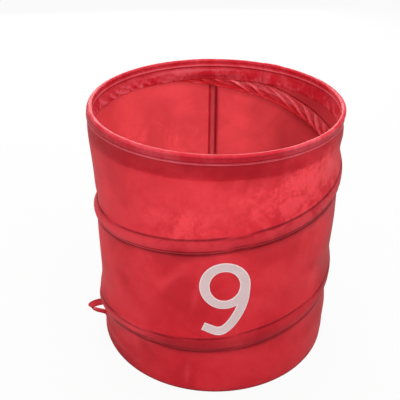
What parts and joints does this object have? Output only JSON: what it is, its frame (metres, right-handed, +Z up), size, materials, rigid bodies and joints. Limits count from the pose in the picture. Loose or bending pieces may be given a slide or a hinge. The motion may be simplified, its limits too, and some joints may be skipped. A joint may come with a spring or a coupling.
{
  "type": "pop-up target basket",
  "caption": "Straight cloth basket, open at the top, held up by a coiled spring wire in its wall and pushed flat to store.",
  "frame": {"origin": "middle of the floor panel's underside, where the basket stands on the ground", "axes": "+Z up along the basket's axis; the number faces -Y; +X is to the right of someone who reads the number"},
  "size_m": [0.3249, 0.3064, 0.3225],
  "materials": {
    "wall_cloth": "thin woven polyester, satin",
    "tape_cloth": "gathered satin tape",
    "hem_cloth": "folded satin strip",
    "floor_cloth": "thin woven polyester",
    "ribbon": "woven ribbon",
    "spring_steel": "plain drawn spring wire",
    "crimp_steel": "plated steel tube, crimped",
    "cap_plastic": "soft black plastic",
    "number_film": "thin matt film"
  },
  "bodies": {
    "base": {"base_panel": "floor_cloth", "base_casing": "tape_cloth", "base_ring": "spring_steel", "base_sleeve": "crimp_steel", "wall_panel": "wall_cloth", "spiral_wire": "spring_steel", "spiral_caps": "cap_plastic", "spiral_casing": "tape_cloth", "tie_loop": "ribbon", "number_patch": "number_film"},
    "rim": {"rim_ring": "spring_steel", "rim_sleeve": "crimp_steel", "rim_hem": "hem_cloth"}
  },
  "joints": [
    {"name": "collapse", "type": "slide", "parent": "base", "child": "rim", "axis": [0, 0, 1], "range_m": [-0.285, 0], "stiffness_N_per_m": 40, "springref_m": 0.05, "deforming": ["wall_panel", "spiral_wire", "spiral_caps", "spiral_casing", "tie_loop", "number_patch"]}
  ]
}
